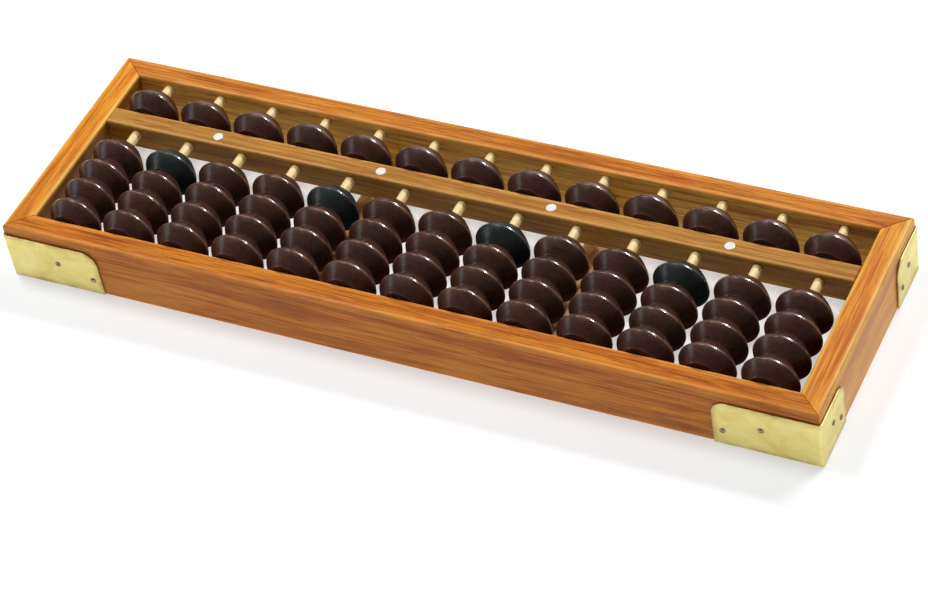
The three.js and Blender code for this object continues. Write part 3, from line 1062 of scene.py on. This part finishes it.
def bead_profile(bulge):
    """Closed (radius, height, edge) outline: flat rim, crowned cone, face, bore, and the same mirrored.

    edge says how worn each point is. bulge is how far the cone is crowned.
    """
    half = BEAD_LENGTH / 2
    cone_start = RIM_FLAT + RIM_EASE
    cone_end = half - FACE_EASE
    cone_radius = BEAD_RADIUS - 0.3 * RIM_EASE
    upper = [
        (BEAD_RADIUS, 0.7 * RIM_FLAT, 1.0),
        (BEAD_RADIUS, RIM_FLAT, 0.9),
        (BEAD_RADIUS - 0.08 * RIM_EASE, RIM_FLAT + 0.5 * RIM_EASE, 0.6),
        (cone_radius, cone_start, 0.4),
    ]
    fall = cone_radius - FACE_RADIUS - 0.8 * FACE_EASE
    for step in range(1, CONE_STEPS + 1):
        share = step / CONE_STEPS
        radius = cone_radius - fall * ((1 - bulge) * share + bulge * share**2)
        upper.append((radius, cone_start + (cone_end - cone_start) * share, max(0.0, 0.3 - share)))
    upper.append((FACE_RADIUS + 0.35 * FACE_EASE, half - 0.25 * FACE_EASE, 0.25))
    upper.append((FACE_RADIUS - 0.6 * FACE_EASE, half, 0.1))
    upper.append((BORE_RADIUS + BORE_CHAMFER, half, 0.0))
    upper.append((BORE_RADIUS, half - BORE_CHAMFER, 0.0))
    lower = [(radius, -height, edge) for radius, height, edge in reversed(upper)]
    return lower + upper


def bead_mesh(name, bulge, material):
    """A bead round the Y axis, centred on the origin."""
    profile = bead_profile(bulge)
    outline = [(radius, height) for radius, height, edge in profile]
    edges = [edge for radius, height, edge in profile]
    along_y = Matrix(((1, 0, 0), (0, 0, 1), (0, -1, 0)))
    bm = bmesh.new()
    skin(bm, turned(bm, outline, BEAD_SEGMENTS, Vector(), along_y, edges), True)
    bmesh.ops.recalc_face_normals(bm, faces=bm.faces)
    mesh = mesh_of(name, bm, material)
    smooth_but_for(mesh, BEAD_SHARP_ANGLE)
    return mesh


def place_bead(name, node, body, x, y, material):
    """A bead centred at (x, y) on its rod. Chance makes it a hair smaller or larger than the next."""
    bulge = rng.uniform(LEAST_BULGE, MOST_BULGE)
    piece = new_object(name, bead_mesh(name, bulge, material))
    piece.location = (x, y, BEAD_AXIS)
    size = rng.uniform(LEAST_SIZE, MOST_SIZE)
    piece.scale = (size, 1.0, size)
    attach(piece, body)
    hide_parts(node)


def column_beads(column):
    """One rod's beads. A stack's beads ride on the stack's body, and a top bead on its own body."""
    x = column_x(column)
    heaven = f"heaven_bead_{column:02d}"
    low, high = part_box(heaven)
    place_bead(heaven, heaven, heaven, x, (low.y + high.y) / 2, BEAD_BROWN)
    stack = f"earth_stack_{column:02d}"
    low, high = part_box(stack)
    count = round((high.y - low.y) / BEAD_LENGTH)
    for number in range(1, count + 1):
        y = low.y + (number - 0.5) * BEAD_LENGTH
        place_bead(f"earth_bead_{column:02d}_{number}", stack, stack, x, y, BEAD_BROWN)
    if count < EARTH_BEADS:
        top = f"earth_bead_top_{column:02d}"
        low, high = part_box(top)
        material = BEAD_GREEN if column in UNIT_COLUMNS else BEAD_BROWN
        name = f"earth_bead_{column:02d}_{EARTH_BEADS}"
        place_bead(name, top, top, x, (low.y + high.y) / 2, material)


# ---------------------------------------------------------------- build

long_rail(-1, "front_rail", FRONT_WOOD)
long_rail(1, "back_rail", BACK_WOOD)
side_rail(-1, "left_rail")
side_rail(1, "right_rail")
reckoning_beam()
unit_inlays()
braces()
rods()
bracket(-1, -1, "bracket_front_left")
bracket(1, -1, "bracket_front_right")
bracket(-1, 1, "bracket_back_left")
bracket(1, 1, "bracket_back_right")
for each_column in COLUMNS:
    column_beads(each_column)

# ---------------------------------------------------------------- floor, light and camera

FLOOR_HALF = 3.0
FLOOR_DROP = 0.1 * MM


def make_floor():
    """A wide flat floor, a hair below the object so that the two never share a plane."""
    corners = [(x * FLOOR_HALF, y * FLOOR_HALF, 0) for x, y in ((-1, -1), (1, -1), (1, 1), (-1, 1))]
    mesh = bpy.data.meshes.new("floor")
    mesh.from_pydata(corners, [], [(0, 1, 2, 3)])
    mesh.materials.append(floor_material())
    floor = new_object("floor", mesh)
    floor.location.z = -FLOOR_DROP


LIGHT_DISTANCE = 1.3


def area_light(name, direction, width, height, power):
    """A soft light in the given direction from the object, aimed at it. Its width is level."""
    light = bpy.data.lights.new(name, "AREA")
    light.shape = "RECTANGLE"
    light.size = width
    light.size_y = height
    light.energy = power
    lamp = new_object(name, light)
    lamp.location = Vector(direction).normalized() * LIGHT_DISTANCE
    lamp.rotation_mode = "QUATERNION"
    lamp.rotation_quaternion = Vector(direction).to_track_quat("Z", "Y")


WORLD_STRENGTH = 0.12


def make_world():
    world = bpy.data.worlds.new("studio")
    world.use_nodes = True
    background = world.node_tree.nodes["Background"]
    background.inputs["Color"].default_value = (1.0, 1.0, 1.0, 1)
    background.inputs["Strength"].default_value = WORLD_STRENGTH
    scene.world = world


# The camera that was fitted to the frame's corners in the photo: degrees, metres, and a lens in millimetres.
CAMERA_AZIMUTH = 32.42
CAMERA_ELEVATION = 44.70
CAMERA_ROLL = -11.17
CAMERA_DISTANCE = 1.0172
CAMERA_TARGET = Vector((15.6, -22.5, 12.0)) * MM
CAMERA_LENS = 118.3
CAMERA_SENSOR = 36


def make_camera():
    azimuth = math.radians(CAMERA_AZIMUTH)
    elevation = math.radians(CAMERA_ELEVATION)
    level_reach = math.cos(elevation)
    back = Vector((math.sin(azimuth) * level_reach, -math.cos(azimuth) * level_reach, math.sin(elevation)))
    data = bpy.data.cameras.new("camera")
    data.lens = CAMERA_LENS
    data.sensor_width = CAMERA_SENSOR
    data.clip_start = 0.05
    data.clip_end = 20
    camera = new_object("camera", data)
    camera.rotation_mode = "QUATERNION"
    camera.location = CAMERA_TARGET + back * CAMERA_DISTANCE
    level = back.to_track_quat("Z", "Y")
    camera.rotation_quaternion = level @ Quaternion(UP, math.radians(CAMERA_ROLL))
    scene.camera = camera


make_floor()
make_world()
area_light("back_strip", direction=(0.26, 0.60, 0.74), width=0.66, height=0.05, power=11.0)
area_light("overhead", direction=(-0.42, 0.10, 0.90), width=0.42, height=0.36, power=8.5)
area_light("left_window", direction=(-0.88, -0.28, 0.38), width=0.50, height=0.36, power=1.4)
make_camera()
scene.view_settings.view_transform = "Standard"
